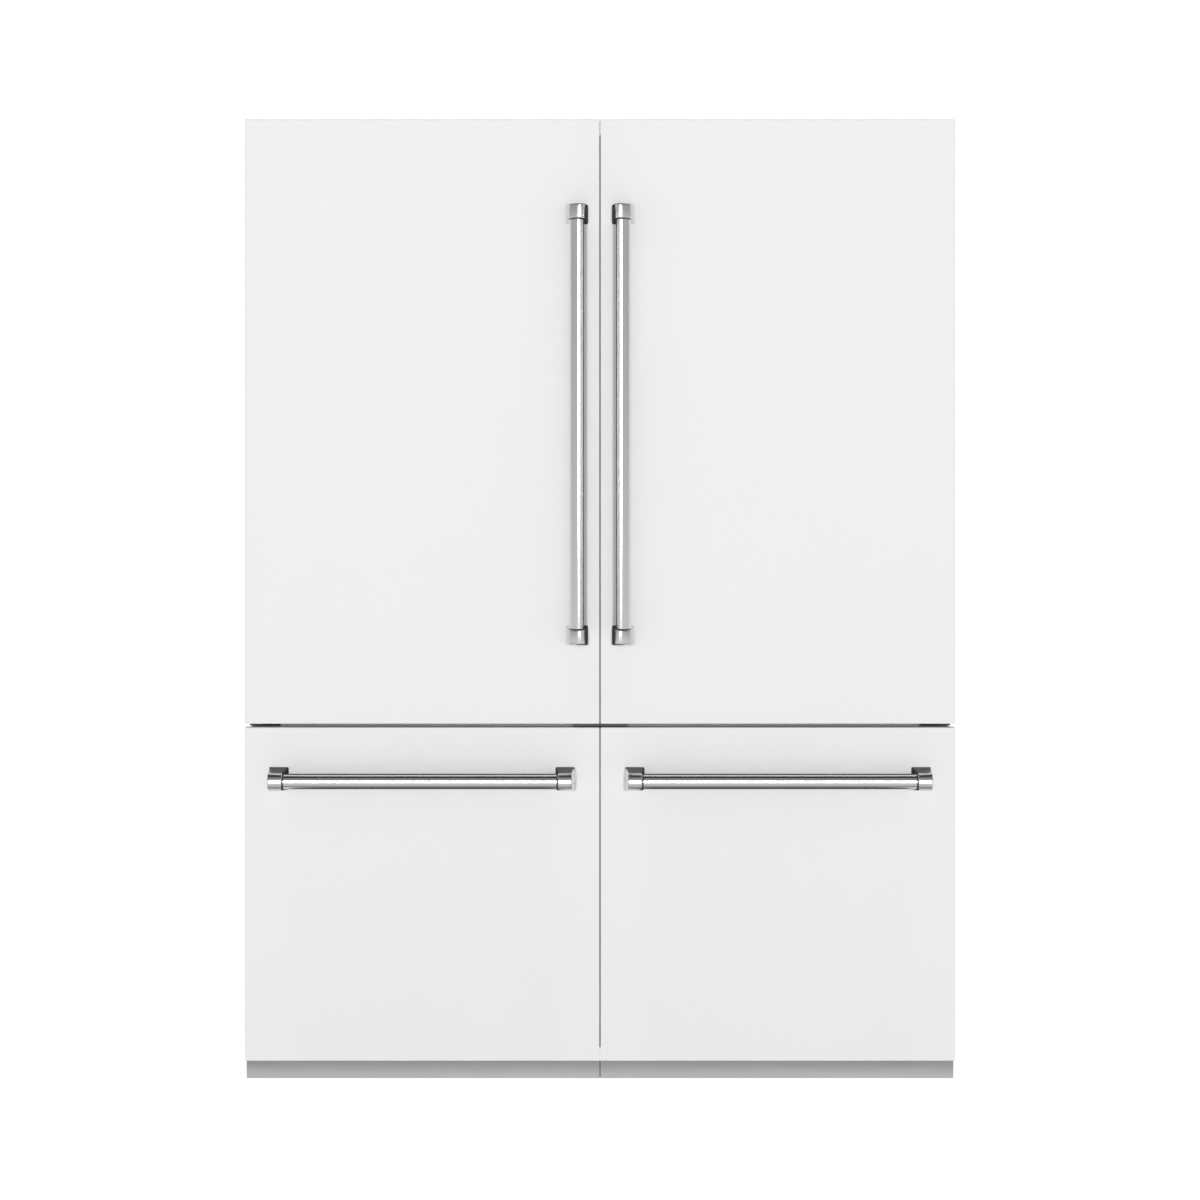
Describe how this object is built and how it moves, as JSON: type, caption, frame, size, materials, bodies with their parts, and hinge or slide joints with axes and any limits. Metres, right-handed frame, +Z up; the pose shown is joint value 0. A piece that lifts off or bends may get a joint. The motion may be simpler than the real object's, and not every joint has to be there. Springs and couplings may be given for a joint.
{
  "type": "french door refrigerator",
  "caption": "Wide double-cabinet refrigerator with tall side-by-side doors over deep freezer drawers, white panels and steel bar handles.",
  "frame": {"origin": "centre of the floor rectangle under the whole object, on the floor", "axes": "+Z up, -Y is the front (the doors face -Y), +X to the right seen from the front"},
  "size_m": [1.515, 0.7024, 2.05],
  "materials": {
    "white_panel": "matte",
    "door_foam": "matte",
    "cabinet_steel": "satin",
    "insulation": "matte",
    "liner": "satin",
    "clear_plastic": "gloss",
    "shelf_glass": "gloss",
    "shelf_trim": "satin",
    "grey_plastic": "satin",
    "dark_plastic": "satin",
    "coil": "satin",
    "compressor_black": "satin",
    "handle_steel": "satin",
    "bracket_steel": "satin",
    "dark_steel": "satin",
    "rail_steel": "satin",
    "toe_steel": "satin",
    "gasket_rubber": "matte",
    "roller_rubber": "matte",
    "feet_steel": "satin"
  },
  "bodies": {
    "cabinet": {"cabinet_shells": "cabinet_steel", "cabinet_foam_left": "insulation", "cabinet_foam_right": "insulation", "cabinet_liners": "liner", "shelf_glass": "shelf_glass", "shelf_frames": "shelf_trim", "ceiling_modules": "grey_plastic", "air_ducts": "liner", "evaporators": "coil", "compressors": "compressor_black", "condensers": "coil", "fan_motors": "dark_plastic", "rear_covers": "cabinet_steel", "inlets": "dark_plastic", "hinge_brackets": "dark_steel", "joining_brackets": "dark_steel", "levelling_feet": "feet_steel", "roller_forks": "feet_steel", "toe_kicks": "toe_steel", "outer_rails": "rail_steel"},
    "door_left": {"door_panel_left": "white_panel", "door_core_left": "door_foam", "door_liner_left": "liner", "door_gasket_left": "gasket_rubber", "door_handle_bar_left": "handle_steel", "door_handle_brackets_left": "bracket_steel", "door_bins_left": "clear_plastic"},
    "drawer_left": {"drawer_panel_left": "white_panel", "drawer_core_left": "door_foam", "drawer_gasket_left": "gasket_rubber", "drawer_handle_bar_left": "handle_steel", "drawer_handle_brackets_left": "bracket_steel", "freezer_bin_left": "clear_plastic", "rails_inner_left": "rail_steel"},
    "rails_middle_left": {"rails_middle_left": "rail_steel"},
    "freezer_tray_left": {"freezer_tray_left": "clear_plastic"},
    "crisper_left": {"crisper_left": "clear_plastic"},
    "evaporator_fan_left": {"evaporator_fan_left": "grey_plastic"},
    "condenser_fan_left": {"condenser_fan_left": "dark_plastic"},
    "rear_rollers_left": {"rear_rollers_left": "roller_rubber"},
    "door_right": {"door_panel_right": "white_panel", "door_core_right": "door_foam", "door_liner_right": "liner", "door_gasket_right": "gasket_rubber", "door_handle_bar_right": "handle_steel", "door_handle_brackets_right": "bracket_steel", "door_bins_right": "clear_plastic"},
    "drawer_right": {"drawer_panel_right": "white_panel", "drawer_core_right": "door_foam", "drawer_gasket_right": "gasket_rubber", "drawer_handle_bar_right": "handle_steel", "drawer_handle_brackets_right": "bracket_steel", "freezer_bin_right": "clear_plastic", "rails_inner_right": "rail_steel"},
    "rails_middle_right": {"rails_middle_right": "rail_steel"},
    "freezer_tray_right": {"freezer_tray_right": "clear_plastic"},
    "crisper_right": {"crisper_right": "clear_plastic"},
    "evaporator_fan_right": {"evaporator_fan_right": "grey_plastic"},
    "condenser_fan_right": {"condenser_fan_right": "dark_plastic"},
    "rear_rollers_right": {"rear_rollers_right": "roller_rubber"}
  },
  "joints": [
    {"name": "door_left_hinge", "type": "hinge", "parent": "cabinet", "child": "door_left", "pos_m": [-0.7435, -0.24175, 0.762], "axis": [0, 0, -1], "range_deg": [0, 120]},
    {"name": "drawer_left_slide", "type": "slide", "parent": "cabinet", "child": "drawer_left", "axis": [0, -1, 0], "range_m": [0, 0.42]},
    {"name": "rails_middle_left_slide", "type": "slide", "parent": "cabinet", "child": "rails_middle_left", "axis": [0, -1, 0], "range_m": [0, 0.21]},
    {"name": "freezer_tray_left_slide", "type": "slide", "parent": "drawer_left", "child": "freezer_tray_left", "axis": [0, 1, 0], "range_m": [0, 0.14]},
    {"name": "crisper_left_slide", "type": "slide", "parent": "cabinet", "child": "crisper_left", "axis": [0, -1, 0], "range_m": [0, 0.281]},
    {"name": "evaporator_fan_left_spin", "type": "hinge", "parent": "cabinet", "child": "evaporator_fan_left", "pos_m": [-0.37925, 0.25825, 0.638], "axis": [0, 1, 0], "continuous": true},
    {"name": "condenser_fan_left_spin", "type": "hinge", "parent": "cabinet", "child": "condenser_fan_left", "pos_m": [-0.246, 0.25875, 0.15], "axis": [1, 0, 0], "continuous": true},
    {"name": "rear_rollers_left_roll", "type": "hinge", "parent": "cabinet", "child": "rear_rollers_left", "pos_m": [-0.37925, 0.31825, 0.02], "axis": [1, 0, 0], "continuous": true},
    {"name": "door_right_hinge", "type": "hinge", "parent": "cabinet", "child": "door_right", "pos_m": [0.7435, -0.24175, 0.762], "axis": [0, 0, 1], "range_deg": [0, 120]},
    {"name": "drawer_right_slide", "type": "slide", "parent": "cabinet", "child": "drawer_right", "axis": [0, -1, 0], "range_m": [0, 0.42]},
    {"name": "rails_middle_right_slide", "type": "slide", "parent": "cabinet", "child": "rails_middle_right", "axis": [0, -1, 0], "range_m": [0, 0.21]},
    {"name": "freezer_tray_right_slide", "type": "slide", "parent": "drawer_right", "child": "freezer_tray_right", "axis": [0, 1, 0], "range_m": [0, 0.14]},
    {"name": "crisper_right_slide", "type": "slide", "parent": "cabinet", "child": "crisper_right", "axis": [0, -1, 0], "range_m": [0, 0.281]},
    {"name": "evaporator_fan_right_spin", "type": "hinge", "parent": "cabinet", "child": "evaporator_fan_right", "pos_m": [0.37925, 0.25825, 0.638], "axis": [0, 1, 0], "continuous": true},
    {"name": "condenser_fan_right_spin", "type": "hinge", "parent": "cabinet", "child": "condenser_fan_right", "pos_m": [0.246, 0.25875, 0.15], "axis": [1, 0, 0], "continuous": true},
    {"name": "rear_rollers_right_roll", "type": "hinge", "parent": "cabinet", "child": "rear_rollers_right", "pos_m": [0.37925, 0.31825, 0.02], "axis": [1, 0, 0], "continuous": true}
  ],
  "couplings": [
    {"joint": "rails_middle_left_slide", "follows": "drawer_left_slide", "ratio": 0.5},
    {"joint": "crisper_left_slide", "follows": "door_left_hinge", "m_per_rad": 0.1337},
    {"joint": "rails_middle_right_slide", "follows": "drawer_right_slide", "ratio": 0.5},
    {"joint": "crisper_right_slide", "follows": "door_right_hinge", "m_per_rad": 0.1337}
  ]
}
